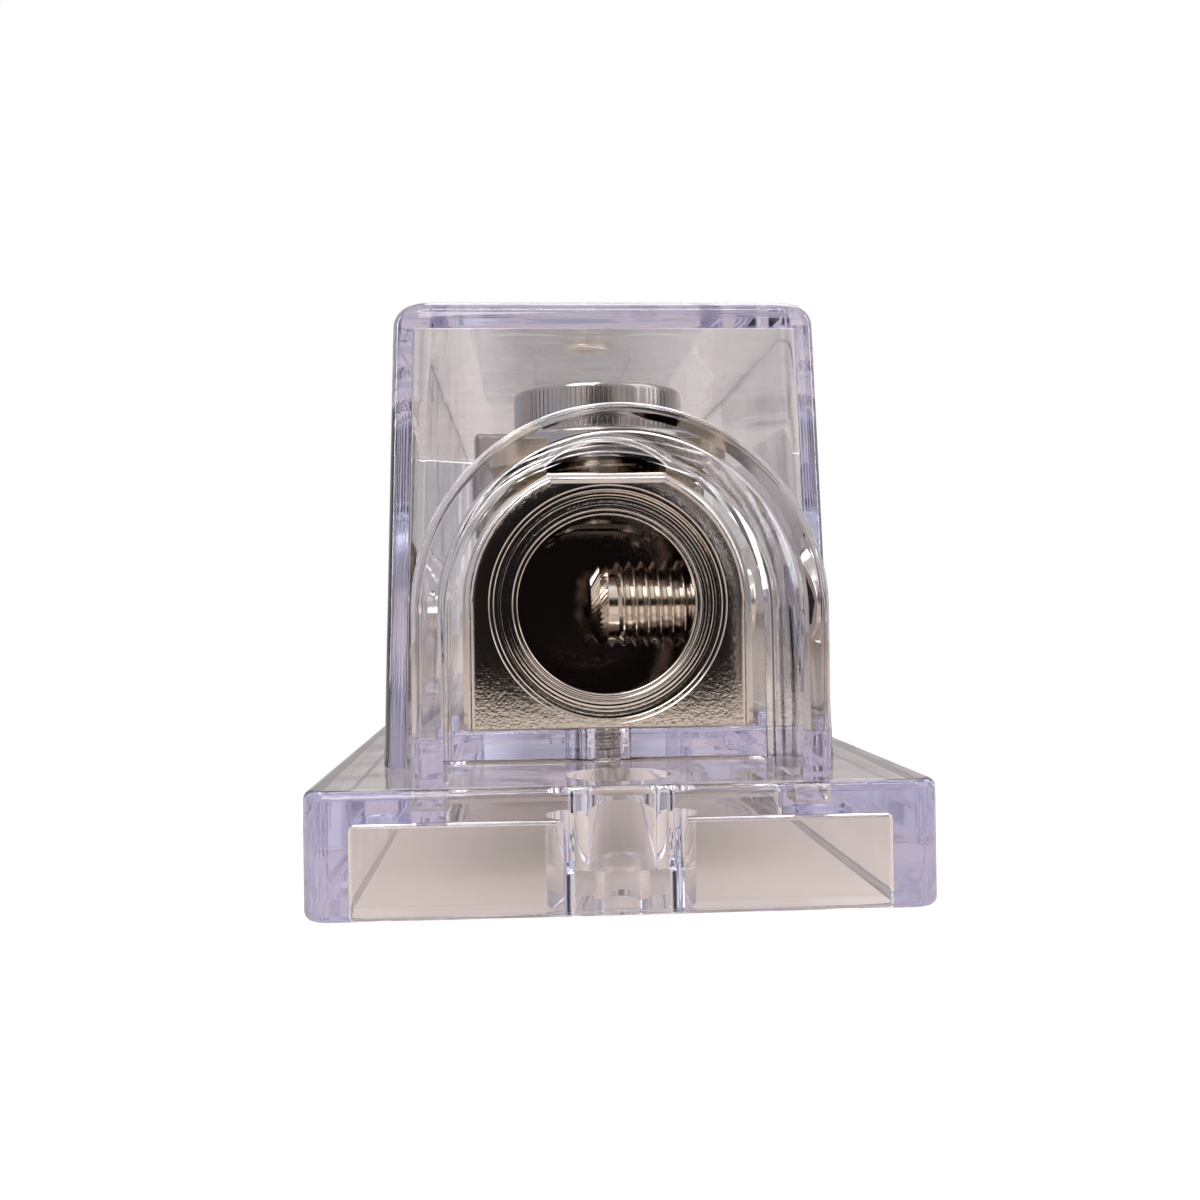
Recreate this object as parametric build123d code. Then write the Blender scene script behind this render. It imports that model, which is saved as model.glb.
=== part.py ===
from build123d import *
import os

# Clear two-part holder for a bolt-down strip fuse, with a screw terminal at each end.
# X runs across the holder, Y along it from the front cable entry to the rear one, and
# Z up from the surface it is screwed to. The origin is in the middle of the underside.
# All sizes are in millimetres. Each front piece is modelled at -Y, and its twin at the
# rear is the same piece turned half a turn about Z.

# The fuse sets the length: its slots take the two clamp screws, and the terminals, the
# cover and the base follow outwards from there.
CLAMP_SPACING = 61.0
CLAMP_FROM_FACE = 10.5
TERMINAL_LENGTH = 19.5
TERMINAL_TO_COVER = 1.0
TUNNEL_LENGTH = 9.8
TUNNEL_SETBACK = 0.4

# The terminal sets the width: its rails, the plinth, the cover and the base follow.
TERMINAL_WIDTH = 20.4
RAIL_FIT = 0.2
RAIL_WIDTH = 1.4
PLINTH_EDGE = 1.75
COVER_FIT = 0.3
COVER_WALL = 1.8
BASE_LEDGE = 3.65

# Base tray, an open-bottomed moulding with a raised plinth under the terminals
BASE_HEIGHT = 7.8
BASE_WALL = 2.6
DECK = 2.2
BASE_CORNER_R = 1.8
BASE_RIM = 0.5
PLINTH_RISE = 2.3
PLINTH_WALL = 2.2
PLINTH_CORNER_R = 0.8

# Mounting bosses at the two ends of the tray
BOSS_R = 4.75
BOSS_SETBACK = 5.6
SCREW_HOLE_R = 1.8
COUNTERBORE_R = 3.35
COUNTERBORE_FLOOR = 2.4

# Cover, a drafted box with a round-topped cable tunnel at each end
HEAD_ROOM = 2.8
COVER_DRAFT = 1.7
COVER_CORNER_R = 2.9
COVER_TOP_R = 1.4
TUNNEL_WALL = 1.9
TUNNEL_DROP = 0.5
TUNNEL_EDGE = 0.4
TONGUE_DROP = 1.4
TONGUE_LENGTH = 4.0
TONGUE_FIT = 0.15

# Terminal block, an arched bar with a flat top that the fuse lies on
TERMINAL_HEIGHT = 17.9
TERMINAL_EDGE = 0.6
TUNNEL_TO_TERMINAL = 0.6
CABLE_AXIS_RISE = 8.6
BORE_R = 6.5
BORE_DEPTH = 15.0
MOUTH_R = 8.0
MOUTH_DEPTH = 1.2
RAIL_RISE = 1.0
RAIL_ROOT = 0.5

# Grub screw that clamps the cable from the side
GRUB_R = 3.0
GRUB_LENGTH = 12.0
GRUB_FROM_FACE = 6.0
GRUB_TIP_PAST_AXIS = 1.0
GRUB_POINT = 1.1
GRUB_HEX = 3.0
GRUB_HEX_DEPTH = 3.5

# Cap screw and washer that clamp the fuse from above
CLAMP_R = 4.0
CLAMP_PLAY = 0.2
CLAMP_HEAD_R = 6.5
CLAMP_HEAD_HEIGHT = 4.0
CLAMP_HEX = 5.0
CLAMP_HEX_DEPTH = 2.8
CLAMP_TIP_IN_BORE = 0.4
WASHER_R = 7.5
WASHER_THICK = 1.2

# Screws that hold each terminal to the plinth from below
FIXING_R = 1.5
FIXING_HEAD_R = 2.8
FIXING_HEAD_HEIGHT = 2.0
FIXING_HOLE_R = 1.7
FRONT_FIXING_FROM_FACE = 4.5
FRONT_FIXING_BITE = 1.5
REAR_FIXING_FROM_END = 2.3
REAR_FIXING_BITE = 5.0
FIXING_SLOT_WIDTH = 0.8
FIXING_SLOT_DEPTH = 1.0

# Fuse, a slotted metal strip riveted between two moulded shells
STRIP_PAST_SCREW = 10.0
STRIP_WIDTH = 16.0
STRIP_THICK = 1.8
STRIP_CORNER_R = 2.0
LINK_WIDTH = 4.5
LINK_IN_CAVITY = 3.5
SHELL_TO_TERMINAL = 2.5
SHELL_SIDE = 2.0
SHELL_HALF = 4.75
SHELL_WALL = 1.5
SHELL_EDGE = 0.6
STRIP_FIT = 0.1
WINDOW_IN_CAVITY = 1.0
WINDOW_WIDTH = 9.0
WINDOW_DEPTH = 0.5
RIVET_R = 1.4
RIVET_HEAD_R = 2.3
RIVET_HEAD = 0.6
RIVET_FROM_END = 4.5
RIVET_TO_CAVITY = 4.5

# Running clearance round a screw in its hole, and how far a cut runs past the surface
THREAD_FIT = 0.05
OVERRUN = 1.0

# Levels and places that follow from the sizes above
CAVITY_Z = BASE_HEIGHT - DECK
PLINTH_Z = BASE_HEIGHT + PLINTH_RISE
PLINTH_CAVITY_Z = PLINTH_Z - DECK
CABLE_Z = PLINTH_Z + CABLE_AXIS_RISE
SEAT_Z = PLINTH_Z + TERMINAL_HEIGHT
CLAMP_Y = -CLAMP_SPACING / 2
TERMINAL_FACE_Y = CLAMP_Y - CLAMP_FROM_FACE
TERMINAL_END_Y = TERMINAL_FACE_Y + TERMINAL_LENGTH
COVER_FRONT_Y = TERMINAL_FACE_Y - TERMINAL_TO_COVER - COVER_WALL
TUNNEL_FRONT_Y = COVER_FRONT_Y - TUNNEL_LENGTH
COVER_LENGTH = -2 * COVER_FRONT_Y
BASE_LENGTH = 2 * (TUNNEL_SETBACK - TUNNEL_FRONT_Y)
RAIL_X = TERMINAL_WIDTH / 2 + RAIL_FIT
PLINTH_WIDTH = 2 * (RAIL_X + RAIL_WIDTH + PLINTH_EDGE)
PLINTH_LENGTH = COVER_LENGTH - 2 * COVER_WALL - 2 * COVER_FIT
COVER_WIDTH = PLINTH_WIDTH + 2 * COVER_FIT + 2 * COVER_WALL
BASE_WIDTH = COVER_WIDTH + 2 * BASE_LEDGE
TUNNEL_INNER_R = TERMINAL_WIDTH / 2 + TUNNEL_TO_TERMINAL
TUNNEL_OUTER_R = TUNNEL_INNER_R + TUNNEL_WALL
TUNNEL_Z = CABLE_Z - TUNNEL_DROP
BOSS_Y = BOSS_SETBACK - BASE_LENGTH / 2
TONGUE_Y = (TUNNEL_FRONT_Y + COVER_FRONT_Y) / 2
GRUB_Y = TERMINAL_FACE_Y + GRUB_FROM_FACE
CLAMP_HOLE_R = CLAMP_R + CLAMP_PLAY
FIXING_YS = (
    TERMINAL_FACE_Y + FRONT_FIXING_FROM_FACE,
    TERMINAL_END_Y - REAR_FIXING_FROM_END,
)
FIXING_BITES = (FRONT_FIXING_BITE, REAR_FIXING_BITE)
STRIP_MID_Z = SEAT_Z + STRIP_THICK / 2
WASHER_Z = SEAT_Z + STRIP_THICK
CLAMP_HEAD_Z = WASHER_Z + WASHER_THICK
COVER_TOP_Z = CLAMP_HEAD_Z + CLAMP_HEAD_HEIGHT + HEAD_ROOM + COVER_WALL
STRIP_LENGTH = CLAMP_SPACING + 2 * STRIP_PAST_SCREW
SHELL_LENGTH = -2 * (TERMINAL_END_Y + SHELL_TO_TERMINAL)
SHELL_WIDTH = STRIP_WIDTH + 2 * SHELL_SIDE
RIVET_Y = SHELL_LENGTH / 2 - RIVET_FROM_END
CAVITY_LENGTH = 2 * (RIVET_Y - RIVET_TO_CAVITY)
WINDOW_LENGTH = CAVITY_LENGTH - 2 * WINDOW_IN_CAVITY
LINK_LENGTH = CAVITY_LENGTH - 2 * LINK_IN_CAVITY
ENDS = {"front": 0, "rear": 180}


def rounded_block(width, length, corner_r, low_z, high_z):
    """Upright block with rounded vertical edges, centred on the Z axis."""
    face = Pos(0, 0, low_z) * RectangleRounded(width, length, corner_r)
    return extrude(face, amount=high_z - low_z)


def rod(radius, low_z, high_z, y=0):
    """Upright cylinder on the middle line, between two levels."""
    return Pos(0, y, low_z) * extrude(Circle(radius), amount=high_z - low_z)


def box_between(low, high):
    """Box from its lowest to its highest corner."""
    size = [b - a for a, b in zip(low, high)]
    middle = [(a + b) / 2 for a, b in zip(low, high)]
    return Pos(*middle) * Box(*size)


def towards_front(profile, start_y, end_y):
    """Extrudes a width-by-height profile from start_y towards the front."""
    upright = Plane(origin=(0, start_y, 0), x_dir=(1, 0, 0), z_dir=(0, -1, 0))
    return extrude(upright * profile, amount=start_y - end_y)


def doorway(radius, middle_z, foot_z):
    """Round-topped outline about middle_z, with straight legs down to foot_z."""
    leg = middle_z - foot_z
    legs = Pos(0, foot_z + leg / 2) * Rectangle(2 * radius, leg)
    below_foot = Pos(0, foot_z - radius) * Rectangle(2 * radius, 2 * radius)
    return Pos(0, middle_z) * Circle(radius) + legs - below_foot


def at_end(piece, end):
    """Turns a front piece to the end of the holder that it belongs to."""
    return piece.rotate(Axis.Z, ENDS[end])


def both_ends(piece):
    """A front feature and its twin at the rear."""
    return [at_end(piece, end) for end in ENDS]


def tongue(fit):
    """Pair of feet under the tunnel legs, grown by a clearance on every side."""
    middle_x = (TUNNEL_INNER_R + TUNNEL_OUTER_R) / 2
    width = TUNNEL_WALL + 2 * fit
    length = TONGUE_LENGTH + 2 * fit
    drop = TONGUE_DROP + fit
    foot = Pos(middle_x, TONGUE_Y, BASE_HEIGHT - drop / 2) * Box(width, length, drop)
    return foot + foot.mirror(Plane.YZ)


def make_base():
    """Tray with its hollow underside, plinth, locating rails and screw bosses."""
    tray = rounded_block(BASE_WIDTH, BASE_LENGTH, BASE_CORNER_R, 0, BASE_HEIGHT)
    tray = chamfer(tray.faces().sort_by(Axis.Z)[-1].edges(), BASE_RIM)
    tray += rounded_block(PLINTH_WIDTH, PLINTH_LENGTH, PLINTH_CORNER_R, CAVITY_Z, PLINTH_Z)
    hollow_x = BASE_WIDTH / 2 - BASE_WALL
    hollow_y = BASE_LENGTH / 2 - BASE_WALL
    tray -= box_between((-hollow_x, -hollow_y, 0), (hollow_x, hollow_y, CAVITY_Z))
    hollow_x = PLINTH_WIDTH / 2 - PLINTH_WALL
    hollow_y = PLINTH_LENGTH / 2 - PLINTH_WALL
    tray -= box_between((-hollow_x, -hollow_y, 0), (hollow_x, hollow_y, PLINTH_CAVITY_Z))
    rail = box_between(
        (RAIL_X, TERMINAL_FACE_Y, PLINTH_Z - RAIL_ROOT),
        (RAIL_X + RAIL_WIDTH, TERMINAL_END_Y, PLINTH_Z + RAIL_RISE),
    )
    rails = rail + rail.mirror(Plane.YZ)
    boss = rod(BOSS_R, 0, CAVITY_Z + DECK / 2, y=BOSS_Y)
    for added in both_ends(rails) + both_ends(boss):
        tray += added
    cuts = [
        rod(SCREW_HOLE_R, -OVERRUN, BASE_HEIGHT + OVERRUN, y=BOSS_Y),
        rod(COUNTERBORE_R, COUNTERBORE_FLOOR, BASE_HEIGHT + OVERRUN, y=BOSS_Y),
        tongue(TONGUE_FIT),
    ]
    cuts += [rod(FIXING_HOLE_R, CAVITY_Z, PLINTH_Z + OVERRUN, y=y) for y in FIXING_YS]
    for cut in cuts:
        for turned in both_ends(cut):
            tray -= turned
    return tray


def drafted(outline, top_z):
    """Block that narrows by the cover's draft from the deck up to top_z."""
    foot = Pos(0, 0, BASE_HEIGHT) * outline
    return extrude(foot, amount=top_z - BASE_HEIGHT, taper=COVER_DRAFT)


def make_cover():
    """Clear lid with its two cable tunnels and the tongues that seat in the deck."""
    lid = drafted(RectangleRounded(COVER_WIDTH, COVER_LENGTH, COVER_CORNER_R), COVER_TOP_Z)
    lid = fillet(lid.faces().sort_by(Axis.Z)[-1].edges(), COVER_TOP_R)
    outline = doorway(TUNNEL_OUTER_R, TUNNEL_Z, BASE_HEIGHT)
    tunnel = towards_front(outline, COVER_FRONT_Y + COVER_WALL, TUNNEL_FRONT_Y)
    rim = tunnel.faces().sort_by(Axis.Y)[0].edges().filter_by(
        lambda edge: edge.center().Z > BASE_HEIGHT + TUNNEL_EDGE
    )
    tunnel = chamfer(rim, TUNNEL_EDGE)
    for turned in both_ends(tunnel):
        lid += turned
    hollow = Rectangle(COVER_WIDTH - 2 * COVER_WALL, COVER_LENGTH - 2 * COVER_WALL)
    lid -= drafted(hollow, COVER_TOP_Z - COVER_WALL)
    passage = towards_front(
        doorway(TUNNEL_INNER_R, TUNNEL_Z, BASE_HEIGHT),
        TERMINAL_FACE_Y,
        TUNNEL_FRONT_Y - OVERRUN,
    )
    for turned in both_ends(passage):
        lid -= turned
    for turned in both_ends(tongue(0)):
        lid += turned
    return lid


def make_terminal():
    """Arched terminal block with its cable bore and its screw holes."""
    outline = doorway(TERMINAL_WIDTH / 2, CABLE_Z, PLINTH_Z)
    outline &= Pos(0, (PLINTH_Z + SEAT_Z) / 2) * Rectangle(TERMINAL_WIDTH, TERMINAL_HEIGHT)
    block = towards_front(outline, TERMINAL_END_Y, TERMINAL_FACE_Y)
    ends = block.faces().sort_by(Axis.Y)
    block = chamfer(ends[0].edges() + ends[-1].edges(), TERMINAL_EDGE)
    bore = towards_front(
        Pos(0, CABLE_Z) * Circle(BORE_R),
        TERMINAL_FACE_Y + BORE_DEPTH,
        TERMINAL_FACE_Y - OVERRUN,
    )
    mouth = Cone(BORE_R, MOUTH_R, MOUTH_DEPTH).rotate(Axis.X, 90)
    mouth = Pos(0, TERMINAL_FACE_Y + MOUTH_DEPTH / 2, CABLE_Z) * mouth
    side_hole = Rot(0, 90, 0) * Cylinder(
        GRUB_R + THREAD_FIT, TERMINAL_WIDTH, align=(Align.CENTER, Align.CENTER, Align.MIN)
    )
    side_hole = Pos(0, GRUB_Y, CABLE_Z) * side_hole
    top_hole = rod(CLAMP_R, CABLE_Z, SEAT_Z + OVERRUN, y=CLAMP_Y)
    block = block - bore - mouth - side_hole - top_hole
    for y, bite in zip(FIXING_YS, FIXING_BITES):
        block -= rod(FIXING_R, PLINTH_Z - OVERRUN, PLINTH_Z + bite + 2 * THREAD_FIT, y=y)
    return block


def make_grub_screw():
    """Headless screw along X, with a hexagon socket outside and its point in the bore."""
    body = Cylinder(GRUB_R, GRUB_LENGTH, align=(Align.CENTER, Align.CENTER, Align.MIN))
    body = chamfer(body.edges().group_by(Axis.Z)[0], GRUB_POINT, GRUB_POINT / 2)
    socket = Pos(0, 0, GRUB_LENGTH - GRUB_HEX_DEPTH) * RegularPolygon(
        GRUB_HEX / 2, 6, major_radius=False
    )
    body -= extrude(socket, amount=GRUB_HEX_DEPTH)
    return Pos(-GRUB_TIP_PAST_AXIS, GRUB_Y, CABLE_Z) * Rot(0, 90, 0) * body


def make_clamp_screw():
    """Low-headed cap screw whose tip just breaks through the roof of the bore."""
    tip_z = CABLE_Z + BORE_R - CLAMP_TIP_IN_BORE
    shank = rod(CLAMP_R - THREAD_FIT, tip_z, CLAMP_HEAD_Z, y=CLAMP_Y)
    head = rod(CLAMP_HEAD_R, CLAMP_HEAD_Z, CLAMP_HEAD_Z + CLAMP_HEAD_HEIGHT, y=CLAMP_Y)
    socket = Pos(0, CLAMP_Y, CLAMP_HEAD_Z + CLAMP_HEAD_HEIGHT) * RegularPolygon(
        CLAMP_HEX / 2, 6, major_radius=False
    )
    return shank + head - extrude(socket, amount=-CLAMP_HEX_DEPTH)


def make_clamp_washer():
    """Plain washer between the fuse strip and the screw head."""
    ring = rod(WASHER_R, WASHER_Z, CLAMP_HEAD_Z, y=CLAMP_Y)
    return ring - rod(CLAMP_HOLE_R, WASHER_Z - OVERRUN, CLAMP_HEAD_Z + OVERRUN, y=CLAMP_Y)


def make_fixing_screw(y, bite):
    """Slotted cheese-head screw up through the plinth into the terminal."""
    head_z = PLINTH_CAVITY_Z - FIXING_HEAD_HEIGHT
    head = rod(FIXING_HEAD_R, head_z, PLINTH_CAVITY_Z, y=y)
    shank = rod(FIXING_R - THREAD_FIT, PLINTH_CAVITY_Z, PLINTH_Z + bite, y=y)
    slot = Pos(0, y, head_z) * Box(
        2 * (FIXING_HEAD_R + OVERRUN), FIXING_SLOT_WIDTH, 2 * FIXING_SLOT_DEPTH
    )
    return head + shank - slot


def make_fuse_strip():
    """Metal strip with an open slot at each end and a narrow link in the middle."""
    outline = RectangleRounded(STRIP_WIDTH, STRIP_LENGTH, STRIP_CORNER_R)
    slot_run = STRIP_PAST_SCREW + OVERRUN
    slot = Pos(0, CLAMP_Y) * Circle(CLAMP_HOLE_R)
    slot += Pos(0, CLAMP_Y - slot_run / 2) * Rectangle(2 * CLAMP_HOLE_R, slot_run)
    bite_r = (STRIP_WIDTH - LINK_WIDTH) / 2
    bite = Pos(STRIP_WIDTH / 2, 0) * SlotCenterToCenter(LINK_LENGTH, 2 * bite_r, rotation=90)
    outline = outline - slot - slot.rotate(Axis.Z, 180) - bite - bite.mirror(Plane.YZ)
    strip = extrude(Pos(0, 0, SEAT_Z) * outline, amount=STRIP_THICK)
    hole = rod(RIVET_R + THREAD_FIT, SEAT_Z - OVERRUN, WASHER_Z + OVERRUN, y=RIVET_Y)
    for turned in both_ends(hole):
        strip -= turned
    return strip


def make_fuse_shell():
    """Upper moulded half of the fuse body, hollow over the link."""
    top_z = STRIP_MID_Z + SHELL_HALF
    half_x = SHELL_WIDTH / 2
    half_y = SHELL_LENGTH / 2
    shell = box_between((-half_x, -half_y, STRIP_MID_Z), (half_x, half_y, top_z))
    shell = chamfer(shell.faces().sort_by(Axis.Z)[-1].edges(), SHELL_EDGE)
    strip_x = STRIP_WIDTH / 2 + STRIP_FIT
    shell -= box_between(
        (-strip_x, -half_y - OVERRUN, STRIP_MID_Z - OVERRUN),
        (strip_x, half_y + OVERRUN, STRIP_MID_Z + STRIP_THICK / 2),
    )
    shell -= box_between(
        (SHELL_WALL - half_x, -CAVITY_LENGTH / 2, STRIP_MID_Z - OVERRUN),
        (half_x - SHELL_WALL, CAVITY_LENGTH / 2, top_z - SHELL_WALL),
    )
    window = Pos(0, 0, top_z) * Rectangle(WINDOW_WIDTH, WINDOW_LENGTH)
    shell -= extrude(window, amount=-WINDOW_DEPTH)
    hole = rod(RIVET_R + THREAD_FIT, STRIP_MID_Z - OVERRUN, top_z + OVERRUN, y=RIVET_Y)
    for turned in both_ends(hole):
        shell -= turned
    return shell


def make_rivet():
    """Rivet through both shells and the strip, with a flat head at each end."""
    low_z = STRIP_MID_Z - SHELL_HALF
    high_z = STRIP_MID_Z + SHELL_HALF
    top = rod(RIVET_HEAD_R, high_z, high_z + RIVET_HEAD, y=-RIVET_Y)
    bottom = rod(RIVET_HEAD_R, low_z - RIVET_HEAD, low_z, y=-RIVET_Y)
    return rod(RIVET_R, low_z, high_z, y=-RIVET_Y) + top + bottom


def make_parts():
    """Every piece of the holder, by name."""
    parts = {"base": make_base(), "cover": make_cover(), "fuse_strip": make_fuse_strip()}
    upper_shell = make_fuse_shell()
    parts["fuse_shell_upper"] = upper_shell
    parts["fuse_shell_lower"] = Pos(0, 0, 2 * STRIP_MID_Z) * upper_shell.mirror(Plane.XY)
    for end in ENDS:
        parts[f"terminal_{end}"] = at_end(make_terminal(), end)
        parts[f"set_screw_{end}"] = at_end(make_grub_screw(), end)
        parts[f"clamp_screw_{end}"] = at_end(make_clamp_screw(), end)
        parts[f"clamp_washer_{end}"] = at_end(make_clamp_washer(), end)
        parts[f"fuse_rivet_{end}"] = at_end(make_rivet(), end)
        for place, y, bite in zip(("outer", "inner"), FIXING_YS, FIXING_BITES):
            screw = make_fixing_screw(y, bite)
            parts[f"fixing_screw_{end}_{place}"] = at_end(screw, end)
    return parts


os.makedirs("parts", exist_ok=True)
for name, piece in make_parts().items():
    export_step(piece, f"parts/{name}.step")
    print(f"{name:28s} {len(piece.solids())} solid  {piece.volume / 1000:8.3f} cm3")
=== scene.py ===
"""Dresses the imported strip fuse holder: clear mouldings, plated terminals, screws and the fuse.

Pieces are modelled in millimetres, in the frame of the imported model, and brought down
to metres as they are dressed. A finished piece's object stays at the origin with its
place in its mesh.
"""

import logging
import math
from collections.abc import Callable, Iterable
from dataclasses import dataclass
from enum import Enum

import bpy
from mathutils import Matrix, Vector

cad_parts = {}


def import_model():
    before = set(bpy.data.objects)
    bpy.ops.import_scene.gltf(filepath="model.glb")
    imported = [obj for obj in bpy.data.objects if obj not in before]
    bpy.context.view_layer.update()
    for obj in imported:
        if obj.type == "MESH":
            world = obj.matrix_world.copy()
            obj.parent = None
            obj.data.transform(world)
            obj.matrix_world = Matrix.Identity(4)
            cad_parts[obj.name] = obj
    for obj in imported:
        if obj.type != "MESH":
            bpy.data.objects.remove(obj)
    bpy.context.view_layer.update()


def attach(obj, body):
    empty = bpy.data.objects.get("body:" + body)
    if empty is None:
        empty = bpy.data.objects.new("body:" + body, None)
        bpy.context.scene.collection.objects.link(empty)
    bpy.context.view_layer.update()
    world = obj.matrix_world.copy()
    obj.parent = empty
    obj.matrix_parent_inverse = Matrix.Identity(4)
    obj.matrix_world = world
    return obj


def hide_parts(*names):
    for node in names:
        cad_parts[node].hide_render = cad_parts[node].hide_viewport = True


log = logging.getLogger("fuse_holder")

Piece = bpy.types.Object
Material = bpy.types.Material
Point = tuple[float, float, float]
Pair = tuple[float, float]
Test = Callable[[Vector, Vector], bool]

MM = 0.001
NEAR = 0.01
WHITE: Point = (1.0, 1.0, 1.0)


class Along(Enum):
    """The axis that a round piece lies along, as the turn that brings Z onto it."""

    X = (0.0, math.pi / 2, 0.0)
    Y = (math.pi / 2, 0.0, 0.0)
    Z = (0.0, 0.0, 0.0)


class End(Enum):
    """The two cable ends of the holder, each with its turn about Z."""

    FRONT = 0.0
    REAR = math.pi

    @property
    def label(self) -> str:
        """The end's name as the CAD nodes and bodies use it."""
        return self.name.lower()


class Kind(Enum):
    """What is selected in edit mode, by Blender's own word."""

    POINT = "VERT"
    EDGE = "EDGE"
    FACE = "FACE"


class Merge(Enum):
    """What a piece becomes with a tool, by Blender's own word."""

    JOINED = "UNION"
    CUT = "DIFFERENCE"
    SHARED = "INTERSECT"


def upright(a: Vector, b: Vector) -> bool:
    """Tells whether an edge's ends differ in height by over a millimetre."""
    return abs(a.z - b.z) > 1


def above(height: float) -> Test:
    """A test for edges that lie at a height or over it."""
    return lambda a, b: min(a.z, b.z) > height - NEAR


def under(height: float) -> Test:
    """A test for edges that lie at a height or below it."""
    return lambda a, b: max(a.z, b.z) < height + NEAR


def between(low: float, high: float) -> Test:
    """A test for edges that lie between two heights."""
    return lambda a, b: low < min(a.z, b.z) and max(a.z, b.z) < high


def reaches(height: float) -> Test:
    """A test for edges that end over a height."""
    return lambda a, b: max(a.z, b.z) > height


def both(wanted: Callable[[Vector], bool]) -> Test:
    """A test for edges whose two ends both pass a test on points."""
    return lambda a, b: wanted(a) and wanted(b)


def span(pair: Pair, side: int) -> list[float]:
    """A pair of places on one side of the middle, the lower first."""
    return sorted(side * place for place in pair)


class Bench:
    """Modelling moves made with Blender's own operators, as by hand."""

    @staticmethod
    def only(piece: Piece) -> None:
        """Selects one piece alone and makes it active.

        Args:
            piece: The piece to work on.
        """
        bpy.ops.object.select_all(action="DESELECT")
        piece.select_set(True)
        bpy.context.view_layer.objects.active = piece

    @staticmethod
    def settle(piece: Piece) -> Piece:
        """Moves a piece's place, turn and scale into its mesh.

        Args:
            piece: The piece to settle.

        Returns:
            The same piece, at the origin.
        """
        Bench.only(piece)
        bpy.ops.object.transform_apply(location=True, rotation=True, scale=True)
        return piece

    @staticmethod
    def named(name: str) -> Piece:
        """Names the active object and settles it.

        Args:
            name: The piece's name.

        Returns:
            The active object.
        """
        piece = bpy.context.active_object
        piece.name = name
        piece.data.name = name
        return Bench.settle(piece)

    @staticmethod
    def block(name: str, low: Point, high: Point) -> Piece:
        """Adds a block between two corners.

        Args:
            name: The piece's name.
            low: Its lowest corner in millimetres.
            high: Its highest corner in millimetres.

        Returns:
            The block.
        """
        middle = [(a + b) / 2 for a, b in zip(low, high)]
        size = [b - a for a, b in zip(low, high)]
        bpy.ops.object.select_all(action="DESELECT")
        bpy.ops.mesh.primitive_cube_add(size=1, location=middle, scale=size)
        return Bench.named(name)

    @staticmethod
    def round_bar(
        name: str,
        radius: float,
        start: Point,
        length: float,
        along: Along = Along.Z,
        tip_radius: float | None = None,
        sides: int = 96,
    ) -> Piece:
        """Adds a closed bar, or a taper if a second radius is given.

        Args:
            name: The piece's name.
            radius: Radius at the start.
            start: Middle of the first end face, in millimetres.
            length: Length towards the positive axis.
            along: The axis that it lies along.
            tip_radius: Radius at the far end, where it differs.
            sides: Number of faces round it.

        Returns:
            The bar.
        """
        step = {Along.X: (1, 0, 0), Along.Y: (0, 1, 0), Along.Z: (0, 0, 1)}[along]
        middle = [s + d * length / 2 for s, d in zip(start, step)]
        ends = (radius, radius if tip_radius is None else tip_radius)
        near, far = reversed(ends) if along is Along.Y else ends
        bpy.ops.object.select_all(action="DESELECT")
        bpy.ops.mesh.primitive_cone_add(
            vertices=sides,
            radius1=near,
            radius2=far,
            depth=length,
            location=middle,
            rotation=along.value,
        )
        return Bench.named(name)

    @staticmethod
    def doorway(
        name: str, radius: float, axis_z: float, foot_z: float, ys: Pair, sides: int = 144
    ) -> Piece:
        """Adds a round-topped solid with straight legs, lying along Y.

        Args:
            name: The piece's name.
            radius: Its half-width and the radius of its top.
            axis_z: Height of the middle of the round.
            foot_z: Height of its foot.
            ys: Its front and its back.
            sides: Number of faces round the whole circle.

        Returns:
            The solid.
        """
        door = Bench.round_bar(
            name, radius, (0, ys[0], axis_z), ys[1] - ys[0], Along.Y, sides=sides
        )
        Bench.open_all(door)
        bpy.ops.mesh.bisect(
            plane_co=(0, 0, axis_z), plane_no=(0, 0, 1), use_fill=True, clear_inner=True
        )
        bpy.ops.object.mode_set(mode="OBJECT")
        Bench.pick(door, Kind.FACE, lambda middle, normal: normal.z < -0.99)
        bpy.ops.mesh.extrude_region_move(
            TRANSFORM_OT_translate={"value": (0, 0, foot_z - axis_z)}
        )
        bpy.ops.object.mode_set(mode="OBJECT")
        return Bench.merge_flat(door)

    @staticmethod
    def hexagon(across: float, top_z: float, depth: float) -> Piece:
        """Adds the tool for a hexagon socket in the top of a screw that stands on Z.

        Args:
            across: Width over its flats.
            top_z: Top of the screw.
            depth: Depth of the socket.

        Returns:
            The tool, reaching a little out of the screw.
        """
        start = (0, 0, top_z - depth)
        return Bench.round_bar("socket", across / math.sqrt(3), start, depth + 1, sides=6)

    @staticmethod
    def merge_flat(piece: Piece) -> Piece:
        """Makes flat neighbouring faces one face.

        Args:
            piece: The piece.

        Returns:
            The same piece.
        """
        Bench.open_all(piece)
        bpy.ops.mesh.remove_doubles(threshold=0.001)
        bpy.ops.mesh.dissolve_limited(angle_limit=math.radians(0.3))
        bpy.ops.mesh.normals_make_consistent(inside=False)
        bpy.ops.object.mode_set(mode="OBJECT")
        return piece

    @staticmethod
    def combine(merge: Merge, piece: Piece, *tools: Piece) -> Piece:
        """Applies a boolean with other pieces and deletes them.

        Args:
            merge: What the piece becomes.
            piece: The piece that is kept.
            tools: The pieces that are used up.

        Returns:
            The piece that is kept.
        """
        for tool in tools:
            Bench.only(piece)
            boolean = piece.modifiers.new("combine", "BOOLEAN")
            boolean.operation = merge.value
            boolean.solver = "EXACT"
            boolean.object = tool
            bpy.ops.object.modifier_apply(modifier=boolean.name)
            bpy.data.objects.remove(tool)
        return piece

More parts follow.
